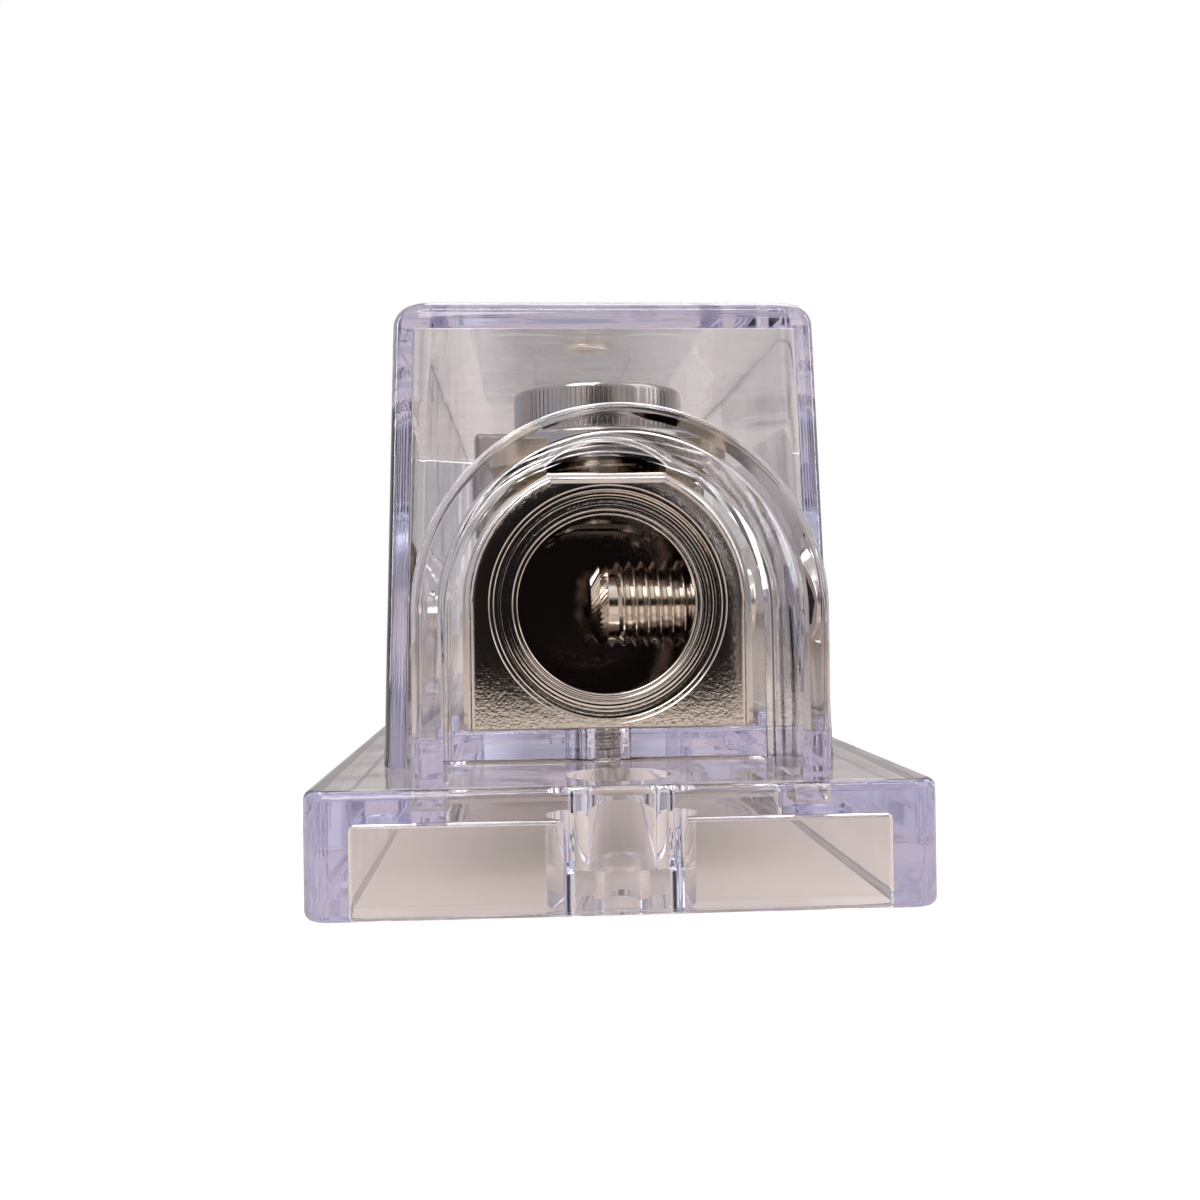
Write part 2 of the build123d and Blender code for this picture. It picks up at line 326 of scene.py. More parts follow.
    @staticmethod
    def join(piece: Piece, *tools: Piece) -> Piece:
        """Adds other pieces to a piece as one body and returns it."""
        return Bench.combine(Merge.JOINED, piece, *tools)

    @staticmethod
    def cut(piece: Piece, *tools: Piece) -> Piece:
        """Cuts other pieces out of a piece and returns it."""
        return Bench.combine(Merge.CUT, piece, *tools)

    @staticmethod
    def gather(name: str, *pieces: Piece) -> Piece:
        """Makes several pieces one object without merging their surfaces.

        Args:
            name: The name of the result.
            pieces: The pieces to gather.

        Returns:
            The gathered object.
        """
        Bench.only(pieces[0])
        for piece in pieces:
            piece.select_set(True)
        bpy.ops.object.join()
        return Bench.named(name)

    @staticmethod
    def soften(piece: Piece, width: float, segments: int, angle: float) -> Piece:
        """Rounds every edge that is sharper than an angle.

        Args:
            piece: The piece.
            width: Width of the rounding in millimetres.
            segments: Faces across the rounding.
            angle: The least turn between two faces, in degrees, that is rounded.

        Returns:
            The same piece.
        """
        Bench.only(piece)
        bevel = piece.modifiers.new("soften", "BEVEL")
        bevel.width = width
        bevel.segments = segments
        bevel.limit_method = "ANGLE"
        bevel.angle_limit = math.radians(angle)
        bevel.use_clamp_overlap = True
        bpy.ops.object.modifier_apply(modifier=bevel.name)
        return piece

    @staticmethod
    def smooth(piece: Piece, angle: float = 34.0) -> Piece:
        """Shades a piece smoothly over its roundings and keeps its flat faces flat.

        Args:
            piece: The piece.
            angle: The least turn between two faces, in degrees, that stays sharp.

        Returns:
            The same piece.
        """
        Bench.only(piece)
        bpy.ops.object.shade_smooth_by_angle(angle=math.radians(angle))
        flatten = piece.modifiers.new("flatten", "WEIGHTED_NORMAL")
        flatten.keep_sharp = True
        bpy.ops.object.modifier_apply(modifier=flatten.name)
        return piece

    @staticmethod
    def open_all(piece: Piece, kind: Kind = Kind.POINT) -> None:
        """Opens a piece in edit mode with all of it selected.

        Args:
            piece: The piece.
            kind: What is selected.
        """
        Bench.only(piece)
        bpy.ops.object.mode_set(mode="EDIT")
        bpy.ops.mesh.select_mode(type=kind.value)
        bpy.ops.mesh.select_all(action="SELECT")

    @staticmethod
    def pick(piece: Piece, kind: Kind, wanted: Test) -> None:
        """Opens a piece in edit mode with only what passes a test selected.

        Args:
            piece: The piece.
            kind: Edges or faces.
            wanted: A test on an edge's two end points, or on a face's middle and normal.
        """
        Bench.open_all(piece, kind)
        bpy.ops.mesh.select_all(action="DESELECT")
        bpy.ops.object.mode_set(mode="OBJECT")
        mesh = piece.data
        if kind is Kind.FACE:
            for face in mesh.polygons:
                face.select = wanted(face.center, face.normal)
        else:
            for edge in mesh.edges:
                edge.select = wanted(*(mesh.vertices[i].co for i in edge.vertices))
        bpy.ops.object.mode_set(mode="EDIT")

    @staticmethod
    def round_edges(piece: Piece, wanted: Test, width: float, segments: int) -> None:
        """Rounds the edges whose end points pass a test.

        Args:
            piece: The piece.
            wanted: The test.
            width: Width of the rounding in millimetres.
            segments: Faces across the rounding.
        """
        Bench.pick(piece, Kind.EDGE, wanted)
        bpy.ops.mesh.bevel(offset=width, segments=segments, affect="EDGES")
        bpy.ops.object.mode_set(mode="OBJECT")

    @staticmethod
    def turned(piece: Piece, name: str, end: End) -> Piece:
        """Copies a front piece to the end that it belongs to.

        Args:
            piece: The front piece.
            name: The copy's name.
            end: The end of the holder.

        Returns:
            The copy, with its own mesh.
        """
        Bench.only(piece)
        bpy.ops.object.duplicate(linked=False)
        bpy.context.active_object.rotation_euler.z = end.value
        return Bench.named(name)

    @staticmethod
    def thread(
        core: float,
        crest: float,
        pitch: float,
        turns: float,
        start: Point,
        steps: int = 40,
        crest_share: float = 0.14,
        foot_share: float = 0.96,
    ) -> Piece:
        """Winds a closed screw thread about Z.

        Args:
            core: Radius at the root.
            crest: Radius at the crest.
            pitch: Rise for each turn.
            turns: Number of turns.
            start: The point on the axis where it starts.
            steps: Faces for each turn.
            crest_share: Width of the crest as a share of the thread's foot.
            foot_share: Width of the thread's foot as a share of the pitch.

        Returns:
            The thread as one closed coil, sunk a little into the core.
        """
        sunk = 0.06
        depth = crest - core + sunk
        bpy.ops.object.select_all(action="DESELECT")
        bpy.ops.mesh.primitive_plane_add(
            size=1,
            location=(crest - depth / 2, 0, pitch / 2),
            rotation=(math.pi / 2, 0, 0),
        )
        bpy.context.active_object.scale = (depth, pitch * foot_share, 1)
        ridge = Bench.named("thread")
        Bench.pick(ridge, Kind.EDGE, lambda a, b: min(a.x, b.x) > crest - 0.001)
        bpy.ops.transform.resize(value=(1, 1, crest_share))
        bpy.ops.mesh.select_all(action="SELECT")
        bpy.ops.mesh.delete(type="ONLY_FACE")
        bpy.ops.object.mode_set(mode="OBJECT")
        screw = ridge.modifiers.new("wind", "SCREW")
        screw.axis = "Z"
        screw.angle = 2 * math.pi * turns
        screw.screw_offset = pitch * turns
        screw.steps = screw.render_steps = round(steps * turns)
        screw.use_merge_vertices = False
        bpy.ops.object.modifier_apply(modifier=screw.name)
        Bench.open_all(ridge, Kind.EDGE)
        bpy.ops.mesh.fill_holes(sides=8)
        bpy.ops.mesh.select_all(action="SELECT")
        bpy.ops.mesh.normals_make_consistent(inside=False)
        bpy.ops.object.mode_set(mode="OBJECT")
        ridge.location = start
        return Bench.settle(ridge)


class Socket:
    """A node's output that can be used in a Python expression."""

    def __init__(self, shader: "Shader", link: bpy.types.NodeSocket | None) -> None:
        """Keeps the material's maker and the output itself."""
        self.shader = shader
        self.link = link

    def _maths(self, operation: str, *values: "Socket | float") -> "Socket":
        """Adds a Math node on the given values and returns its result."""
        return self.shader.node("ShaderNodeMath", {"operation": operation}, values)

    def __add__(self, other: "Socket | float") -> "Socket":
        """self + other."""
        return self._maths("ADD", self, other)

    __radd__ = __add__

    def __sub__(self, other: "Socket | float") -> "Socket":
        """self - other."""
        return self._maths("SUBTRACT", self, other)

    def __rsub__(self, other: "Socket | float") -> "Socket":
        """other - self."""
        return self._maths("SUBTRACT", other, self)

    def __mul__(self, other: "Socket | float") -> "Socket":
        """self * other."""
        return self._maths("MULTIPLY", self, other)

    __rmul__ = __mul__

    def __truediv__(self, other: "Socket | float") -> "Socket":
        """self / other."""
        return self._maths("DIVIDE", self, other)

    def __rtruediv__(self, other: "Socket | float") -> "Socket":
        """other / self."""
        return self._maths("DIVIDE", other, self)

    def __abs__(self) -> "Socket":
        """The value without its sign."""
        return self._maths("ABSOLUTE", self)

    def clamped(self, low: float = 0.0, high: float = 1.0) -> "Socket":
        """The value held between two limits."""
        return self._maths("MINIMUM", self._maths("MAXIMUM", self, low), high)

    def mapped(self, low: float, high: float) -> "Socket":
        """The value taken from 0..1 to low..high."""
        return self * (high - low) + low

    def ramped(self, low: float, high: float) -> "Socket":
        """0 below low and 1 above high, with a straight rise between them."""
        return ((self - low) / (high - low)).clamped()

    def root(self) -> "Socket":
        """The square root of the value."""
        return self._maths("SQRT", self)


class Shader:
    """Builds the nodes of a material or of the world."""

    def __init__(self, name: str, world: bool = False) -> None:
        """Starts an empty material or world.

        Args:
            name: Its name.
            world: Whether it is a world.
        """
        self.material = (bpy.data.worlds if world else bpy.data.materials).new(name)
        self.material.use_nodes = True
        self.tree = self.material.node_tree
        self.tree.nodes.clear()

    def node(
        self,
        kind: str,
        settings: dict | None = None,
        inputs: dict | Iterable = (),
        output: int | str = 0,
    ) -> Socket:
        """Adds a node, sets it up and feeds its sockets.

        Args:
            kind: The node's type name.
            settings: Its own settings, such as a Math node's operation.
            inputs: Values or sockets, in order or by the socket's name or number.
            output: The output that is returned.

        Returns:
            The chosen output.
        """
        made = self.tree.nodes.new(kind)
        for key, value in (settings or {}).items():
            if key == "stops":
                ramp = made.color_ramp
                while len(ramp.elements) < len(value):
                    ramp.elements.new(1.0)
                for element, (place, colour) in zip(ramp.elements, value):
                    element.position = place
                    element.color = (*colour, 1.0)
            else:
                setattr(made, key, value)
        for key, value in inputs.items() if isinstance(inputs, dict) else enumerate(inputs):
            socket = made.inputs[key]
            if isinstance(value, Socket):
                self.tree.links.new(value.link, socket)
            elif value is not None:
                socket.default_value = (*value, 1.0) if socket.type == "RGBA" else value
        return Socket(self, made.outputs[output] if made.outputs else None)

    def place(self) -> Socket:
        """The point on the piece, in the frame of the holder."""
        return self.node("ShaderNodeTexCoord", output="Object")

    def parts(self, vector: Socket) -> list[Socket]:
        """A vector's X, Y and Z."""
        split = self.node("ShaderNodeSeparateXYZ", inputs=[vector]).link.node
        return [Socket(self, out) for out in split.outputs]

    def noise(self, grain_mm: float, detail: float, vector: Socket | None = None) -> Socket:
        """Noise whose lumps are about grain_mm across.

        Args:
            grain_mm: Size of the lumps in millimetres.
            detail: Octaves of finer noise.
            vector: The point to read it at, or the point on the piece.

        Returns:
            The noise from 0 to 1.
        """
        inputs = {
            "Vector": vector or self.place(),
            "Scale": 1 / (grain_mm * MM),
            "Detail": detail,
            "Roughness": 0.6,
        }
        return self.node("ShaderNodeTexNoise", {}, inputs)

    def blend(
        self, factor: Socket, first: Socket | Point, second: Socket | Point
    ) -> Socket:
        """Two colours mixed, with factor as the share of the second."""
        inputs = {0: factor, 6: first, 7: second}
        return self.node("ShaderNodeMix", {"data_type": "RGBA"}, inputs, 2)

    def mix(self, factor: Socket, first: Socket, second: Socket) -> Socket:
        """Two shaders mixed, with factor as the share of the second."""
        return self.node("ShaderNodeMixShader", {}, [factor, first, second])

    def coloured(self, kind: str, colour: Point) -> Socket:
        """A shader of the given type that has only a colour set."""
        return self.node(kind, {}, {"Color": colour})

    def bump(self, height: Socket, depth_mm: float) -> Socket:
        """The normal of a height, where 1 stands for depth_mm millimetres."""
        return self.node("ShaderNodeBump", {}, {"Height": height, "Distance": depth_mm * MM})

    def rays(self) -> tuple[Socket, Socket]:
        """Tells the camera's rays from those seen in the metal and through the plastic.

        Returns:
            1 on rays from the camera, and 1 on rays off gloss or through clear plastic.
        """
        outs = self.node("ShaderNodeLightPath").link.node.outputs
        names = ("Is Camera Ray", "Is Transmission Ray", "Is Glossy Ray")
        camera, through, off = (Socket(self, outs[name]) for name in names)
        return camera, through + off

    def lit_through(self, body: Socket, tint: Point, share: float) -> Socket:
        """Lets a share of the light through a clear body, tinted, instead of a full shadow.

        Args:
            body: The shader of the body.
            tint: The colour that the light takes.
            share: The share of the light.

        Returns:
            The shader.
        """
        shadow = self.node("ShaderNodeLightPath", output="Is Shadow Ray")
        return self.mix(shadow * share, body, self.coloured("ShaderNodeBsdfTransparent", tint))

    def finish(self, surface: Socket, volume: Socket | None = None) -> Material:
        """Feeds the surface, and the inside if it has one, to the output."""
        self.node("ShaderNodeOutputMaterial", {}, {"Surface": surface, "Volume": volume})
        return self.material


@dataclass(frozen=True)
class ClearPlastic:
    """Polished clear moulding that turns violet in its depth, with a soft surface ripple."""

    tint: Point = (0.975, 0.965, 0.975)
    depth_colour: Point = (0.47, 0.47, 0.91)
    depth_density: float = 7.0
    index: float = 1.585
    roughness: float = 0.012
    let_through: float = 0.88
    swells: tuple[Pair, ...] = ((8.0, 0.03), (2.4, 0.002))

    def make(self, name: str) -> Material:
        """Makes the material.

        Args:
            name: The material's name.

        Returns:
            The material.
        """
        sh = Shader(name)
        slow, quick = (sh.noise(grain, 1.0) * height for grain, height in self.swells)
        body = sh.node(
            "ShaderNodeBsdfPrincipled",
            {},
            {
                "Base Color": self.tint,
                "Roughness": self.roughness,
                "IOR": self.index,
                "Transmission Weight": 1.0,
                "Normal": sh.bump(slow + quick, 1.0),
            },
        )
        depth = sh.node(
            "ShaderNodeVolumeAbsorption",
            {},
            {"Color": self.depth_colour, "Density": self.depth_density},
        )
        return sh.finish(sh.lit_through(body, self.tint, self.let_through), depth)


@dataclass(frozen=True)
class PlatedMetal:
    """Bright plating over a cast or turned body, with fine grain, haze and dulled spots."""

    colour: Point
    warm: Point
    roughness: float
    grain_mm: float = 0.22
    grain_depth: float = 0.006
    grain_share: float = 0.03
    streak: Point = (1.0, 1.0, 1.0)
    cloud_mm: float = 4.5
    warm_limits: Pair = (0.35, 0.7)
    haze: float = 0.08
    haze_limits: Pair = (0.3, 0.8)

    def make(self, name: str) -> Material:
        """Makes the material.

        Args:
            name: The material's name.

        Returns:
            The material.
        """
        sh = Shader(name)
        cloud = sh.noise(self.cloud_mm, 3.0)
        drawn = sh.node("ShaderNodeMapping", {}, {"Vector": sh.place(), "Scale": self.streak})
        fine = sh.noise(self.grain_mm, 3.0, drawn)
        colour = sh.blend(cloud.clamped(*self.warm_limits), self.colour, self.warm)
        hazy = cloud.ramped(*self.haze_limits)
        surface = sh.node(
            "ShaderNodeBsdfPrincipled",
            {},
            {
                "Base Color": self._tone(sh, colour),
                "Metallic": 1.0,
                "Roughness": hazy.mapped(self.roughness, self.roughness + self.haze)
                + fine * self.grain_share,
                "Normal": self._relief(sh, fine),
            },
        )
        return sh.finish(surface)

    def _tone(self, sh: Shader, colour: Socket) -> Socket:
        """The colour, with any painted shade that a piece adds to it."""
        return colour

    def _relief(self, sh: Shader, fine: Socket) -> Socket:
        """The normal of the grain."""
        return sh.bump(fine, self.grain_depth)


@dataclass(frozen=True)
class TurnedNickel(PlatedMetal):
    """Nickel over a cast block: pebbled near its edges, with turning marks round its bore and
    painted shade inside it.
    """

    axis_z: float = 18.7
    bore_r: float = 6.32
    bore_y: float = 39.3
    # Painted shade: the dark colour of the bore's inside and how it fades at its edges.
    bore_colour: Point = (0.34, 0.29, 0.26)
    bore_fades: Pair = (0.02, 0.2)
    turned_r: float = 7.8
    turned_fade: float = 0.1
    pebbled_rs: Pair = (8.6, 11.5)
    pebble_mm: float = 0.2
    pebble_depth: float = 0.008
    groove_mm: float = 0.13
    groove_depth: float = 0.022

    def _round_bore(self, sh: Shader) -> tuple[Socket, Socket]:
        """Measures where a point is round the bore.

        Args:
            sh: The material's nodes.

        Returns:
            How far it is from the bore's axis, and from the holder's middle along it.
        """
        x, y, z = sh.parts(sh.place())
        up = z - self.axis_z * MM
        return (x * x + up * up).root(), abs(y)

    def _tone(self, sh: Shader, colour: Socket) -> Socket:
        """Paints shade into the inside of the bore as a darker colour.

        Args:
            sh: The material's nodes.
            colour: The colour elsewhere.

        Returns:
            The colour.
        """
        away, along = self._round_bore(sh)
        across_fade, along_fade = self.bore_fades
        # Painted shade: the colour darkens inside the bore, where shade falls.
        inside = (self.bore_r * MM - away).ramped(0.0, across_fade * MM)
        inside = inside * (self.bore_y * MM - along).ramped(0.0, along_fade * MM)
        return sh.blend(inside, colour, self.bore_colour)

    def _relief(self, sh: Shader, fine: Socket) -> Socket:
        """The normal of the grain, the pebbled casting and the turning marks.

        Args:
            sh: The material's nodes.
            fine: The fine grain.

        Returns:
            The normal.
        """
        away, _ = self._round_bore(sh)
        outwards = sh.node("ShaderNodeCombineXYZ", {}, [away, 0.0, 0.0])
        fade = self.turned_fade * MM
        turned = (self.turned_r * MM - away).ramped(0.0, fade)
        turned = turned * (away - self.bore_r * MM).ramped(0.0, fade)
        calm_r, rough_r = self.pebbled_rs
        pebbles = sh.noise(self.pebble_mm, 2.0) * away.ramped(calm_r * MM, rough_r * MM)
        height = (
            fine * self.grain_depth
            + pebbles * self.pebble_depth
            + sh.noise(self.groove_mm, 1.0, outwards) * turned * self.groove_depth
        )
        return sh.bump(height, 1.0)


@dataclass(frozen=True)
class SmokedPlastic:
    """Tinted clear plastic of the fuse body."""

    tint: Point = (0.55, 0.53, 0.52)
    roughness: float = 0.08
    haze: float = 0.1
    haze_mm: float = 1.2
    grain_mm: float = 0.5
    grain_depth: float = 0.004
    index: float = 1.5
    clearness: float = 0.85
    let_through: float = 0.7

    def make(self, name: str) -> Material:
        """Makes the material.

        Args:
            name: The material's name.

        Returns:
            The material.
        """
        sh = Shader(name)
        haze = sh.noise(self.haze_mm, 2.0)
        body = sh.node(
            "ShaderNodeBsdfPrincipled",
            {},
            {
                "Base Color": self.tint,
                "Roughness": haze.mapped(self.roughness, self.roughness + self.haze),
                "IOR": self.index,
                "Transmission Weight": self.clearness,
                "Normal": sh.bump(sh.noise(self.grain_mm, 2.0), self.grain_depth),
            },
        )
        return sh.finish(sh.lit_through(body, self.tint, self.let_through))


class Finishes:
    """Every finish of the holder, made once."""

    def __init__(self) -> None:
        """Makes the materials."""
        turned = {"grain_mm": 0.15, "grain_depth": 0.004}
        self.clear = ClearPlastic().make("clear_plastic")
        self.nickel = TurnedNickel(
            (0.78, 0.74, 0.70), (0.70, 0.64, 0.58), 0.035, grain_mm=0.3, haze=0.05
        ).make("nickel_plate")
        self.screw = PlatedMetal(
            (0.80, 0.755, 0.70), (0.66, 0.585, 0.50), 0.10, **turned
        ).make("screw_steel")
        self.cap = PlatedMetal(
            (0.56, 0.53, 0.50), (0.44, 0.40, 0.37), 0.12, **turned
        ).make("cap_screw_steel")
        self.strip = PlatedMetal(
            (0.66, 0.58, 0.47), (0.55, 0.46, 0.35), 0.2, streak=(1.0, 0.06, 1.0), haze=0.15
        ).make("fuse_metal")
        self.smoke = SmokedPlastic().make("fuse_plastic")
        self.brass = PlatedMetal((0.72, 0.60, 0.42), (0.58, 0.46, 0.30), 0.2).make("rivet_brass")


def dress(obj: Piece, material: Material, slot: str, body: str, *nodes: str) -> None:
    """Gives a piece its finish, its body and the CAD nodes that it stands for.

    Args:
        obj: The piece.
        material: Its finish.
        slot: The record's material slot; not used.
        body: The body that it rides on.
        nodes: The CAD nodes that it replaces.
    """
    obj.scale = (MM, MM, MM)
    Bench.settle(obj)
    obj.data.materials.clear()
    obj.data.materials.append(material)
    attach(obj, body)
    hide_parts(*nodes)
    log.info("%s: %d faces on %s", obj.name, len(obj.data.polygons), body)


def dress_ends(
    piece: Piece, material: Material, slot: str, name: str, node: str, moves: bool = False
) -> None:
    """Dresses a copy of a front piece at each end and removes the front piece.

    Args:
        piece: The front piece.
        material: Its finish.
        slot: The record's material slot.
        name: The copies' name, with a gap for the end.
        node: The replaced nodes' name, with a gap for the end.
        moves: Whether each copy rides on the body named as its node, not on the holder.
    """
    for end in End:
        stands_for = node.format(end.label)
        copy = Bench.turned(piece, name.format(end.label), end)
        dress(copy, material, slot, stands_for if moves else "holder", stands_for)
    bpy.data.objects.remove(piece)


@dataclass
class Tray:
    """The clear base: open-bottomed tray, plinth, rails, bosses and tongue slots."""

    half_x: float = 19.3
    half_y: float = 54.0
    top_z: float = 7.8
    wall: float = 2.6
    deck: float = 2.2
    corner: float = 1.8
    rim: float = 0.6
    foot: float = 0.5
    cavity_round: float = 0.35
    plinth_x: float = 13.55
    plinth_y: float = 41.7
    plinth_z: float = 10.1
    plinth_wall: float = 2.2
    plinth_corner: float = 0.8
    plinth_rim: float = 0.35
    upper_round: float = 0.7
    rail_x: Pair = (10.4, 11.8)
    rail_y: Pair = (-41.0, -21.5)
    rail_z: float = 11.1
    rail_round: float = 0.25
    boss_y: float = -48.4
    boss_r: float = 4.75
    hole_r: float = 1.8
    sink_r: float = 3.35
    sink_z: float = 2.4
    fixing_ys: Pair = (-36.5, -23.8)
    fixing_r: float = 1.7
    slot_x: Pair = (10.65, 12.85)
    slot_y: Pair = (-50.85, -46.55)
    slot_z: float = 6.25

    def build(self, finishes: Finishes) -> None:
        """Builds the tray.

        Args:
            finishes: The holder's finishes.
        """
        tray = Bench.block(
            "tray", (-self.half_x, -self.half_y, 0), (self.half_x, self.half_y, self.top_z)
        )
        Bench.round_edges(tray, upright, self.corner, 8)
        Bench.round_edges(tray, above(self.top_z), self.rim, 4)
        plinth = Bench.block(
            "plinth",
            (-self.plinth_x, -self.plinth_y, self.top_z - 1),
            (self.plinth_x, self.plinth_y, self.plinth_z),
        )
        Bench.round_edges(plinth, upright, self.plinth_corner, 5)
        Bench.round_edges(plinth, above(self.plinth_z), self.plinth_rim, 3)
        Bench.join(tray, plinth)
        x, y, z = self.half_x - self.wall, self.half_y - self.wall, self.top_z - self.deck
        cavity = Bench.block("cavity", (-x, -y, -1), (x, y, z))
        Bench.round_edges(cavity, reaches(0), self.cavity_round, 3)
        x, y = self.plinth_x - self.plinth_wall, self.plinth_y - self.plinth_wall
        upper = Bench.block("upper", (-x, -y, z - 1), (x, y, self.plinth_z - self.deck))
        Bench.round_edges(upper, reaches(z), self.upper_round, 4)
        Bench.cut(tray, cavity, upper)
        for side in (1, -1):
            self._fit_end(tray, side)
        Bench.merge_flat(tray)
        Bench.round_edges(tray, both(self._on_foot), self.foot, 3)
        dress(Bench.smooth(tray), finishes.clear, "clear_plastic", "holder", "base")

    def _on_foot(self, point: Vector) -> bool:
        """Tells whether a point is on the outer edge of the underside."""
        outside = max(abs(point.x) - self.half_x, abs(point.y) - self.half_y)
        return point.z < 0.001 and outside > self.corner * (math.sqrt(0.5) - 1) - NEAR

    def _fit_end(self, tray: Piece, side: int) -> None:
        """Adds one end's rails and boss and cuts its holes and slots.

        Args:
            tray: The tray.
            side: 1 for the front end and -1 for the rear one.
        """
        hole_y = side * self.boss_y
        Bench.join(tray, Bench.round_bar("boss", self.boss_r, (0, hole_y, 0), self.top_z - 1))
        for mirror in (-1, 1):
            xs, ys = span(self.rail_x, mirror), span(self.rail_y, side)
            rail = Bench.block(
                "rail", (xs[0], ys[0], self.plinth_z - 1), (xs[1], ys[1], self.rail_z)
            )
            Bench.round_edges(rail, reaches(self.plinth_z), self.rail_round, 3)
            Bench.join(tray, rail)
            xs, ys = span(self.slot_x, mirror), span(self.slot_y, side)
            Bench.cut(tray, Bench.block("slot", (xs[0], ys[0], self.slot_z), (xs[1], ys[1], 9)))
        Bench.cut(
            tray,
            Bench.round_bar("hole", self.hole_r, (0, hole_y, -1), 12, sides=64),
            Bench.round_bar("sink", self.sink_r, (0, hole_y, self.sink_z), 8),
        )
        for y in self.fixing_ys:
            Bench.cut(tray, Bench.round_bar("hole", self.fixing_r, (0, side * y, 5), 7, sides=48))


@dataclass
class Lid:
    """The clear cover: drafted box with an arched cable tunnel at each end."""

    half_x: float = 15.65
    half_y: float = 43.8
    deck_z: float = 7.8
    foot_z: float = 7.82
    low_z: float = 4.0
    top_z: float = 39.6
    wall: float = 1.8
    draft: float = 1.7
    corner: float = 2.9
    top_round: float = 1.4
    inner_corner: float = 0.12
    inner_round: float = 0.1
    arch_z: float = 18.2
    arch_low_z: float = 2.0
    arch_outer: float = 12.7
    arch_inner: float = 10.8
    arch_front: float = -53.6
    arch_edge: float = 0.7
    lip: float = 0.25
    passage_end: float = -41.0
    foot_x: Pair = (10.8, 12.7)
    foot_y: Pair = (-50.7, -46.7)
    foot_low_z: float = 6.4
    foot_sunk: float = 0.6

    def build(self, finishes: Finishes) -> None:
        """Builds the cover.

        Args:
            finishes: The holder's finishes.
        """
        lid = self._drafted("lid", 0.0, self.top_z, (self.corner, 10), (self.top_round, 6))
        for end in End:
            outer = self._arch(self.arch_outer, self.arch_front, self.wall - self.half_y)
            Bench.round_edges(outer, self._on_front, self.arch_edge, 4)
            Bench.join(lid, Bench.turned(outer, "tunnel_end", end))
            bpy.data.objects.remove(outer)
        Bench.merge_flat(lid)
        roundings = ((self.inner_corner, 2), (self.inner_round, 2))
        Bench.cut(lid, self._drafted("hollow", self.wall, self.top_z - self.wall, *roundings))
        for end in End:
            inner = self._arch(self.arch_inner, self.arch_front - 2, self.passage_end)
            Bench.cut(lid, Bench.turned(inner, "passage_end", end))
            bpy.data.objects.remove(inner)
        Bench.cut(lid, Bench.block("below", (-60, -80, -20), (60, 80, self.foot_z)))
        for side in (-1, 1):
            for mirror in (-1, 1):
                xs, ys = span(self.foot_x, mirror), span(self.foot_y, side)
                high = (xs[1], ys[1], self.foot_z + self.foot_sunk)
                Bench.join(lid, Bench.block("tongue", (xs[0], ys[0], self.foot_low_z), high))
        Bench.merge_flat(lid)
        Bench.round_edges(lid, both(self._on_lip), self.lip, 3)
        dress(Bench.smooth(lid), finishes.clear, "clear_plastic", "cover", "cover")

    def _on_front(self, a: Vector, b: Vector) -> bool:
        """Tells whether an edge of a tunnel is on its front face and off its foot."""
        return max(a.y, b.y) < self.arch_front + NEAR and max(a.z, b.z) > self.arch_low_z + 1

    def _on_lip(self, point: Vector) -> bool:
        """Tells whether a point is on the inner front edge of a tunnel.

        Args:
            point: The point.

        Returns:
            True if it is.
        """
        if abs(abs(point.y) + self.arch_front) > 0.02 or point.z < self.foot_z + NEAR:
            return False
        up = max(point.z - self.arch_z, 0.0)
        return abs(math.hypot(point.x, up) - self.arch_inner) < 0.03

    def _drafted(
        self, name: str, inset: float, top_z: float, *roundings: tuple[float, int]
    ) -> Piece:
        """Adds a box that narrows upwards with the cover's draft.

        Args:
            name: The piece's name.
            inset: Distance inside the cover's outer face at the foot.
            top_z: Its top.
            roundings: Width and faces of the rounding of its upright edges, then its top ones.

        Returns:
            The box.
        """
        slope = math.tan(math.radians(self.draft))
        foot = slope * (self.deck_z - self.low_z)
        x, y = self.half_x - inset + foot, self.half_y - inset + foot
        box = Bench.block(name, (-x, -y, self.low_z), (x, y, top_z))
        lean = slope * (top_z - self.low_z)
        Bench.pick(box, Kind.FACE, lambda middle, normal: normal.z > 0.9)
        bpy.ops.transform.resize(value=((x - lean) / x, (y - lean) / y, 1))
        bpy.ops.object.mode_set(mode="OBJECT")
        for wanted, rounding in zip((upright, above(top_z)), roundings):
            Bench.round_edges(box, wanted, *rounding)
        return box

    def _arch(self, radius: float, start_y: float, end_y: float) -> Piece:
        """Adds a round-topped solid about the tunnel's axis."""
        return Bench.doorway("arch", radius, self.arch_z, self.arch_low_z, (start_y, end_y))


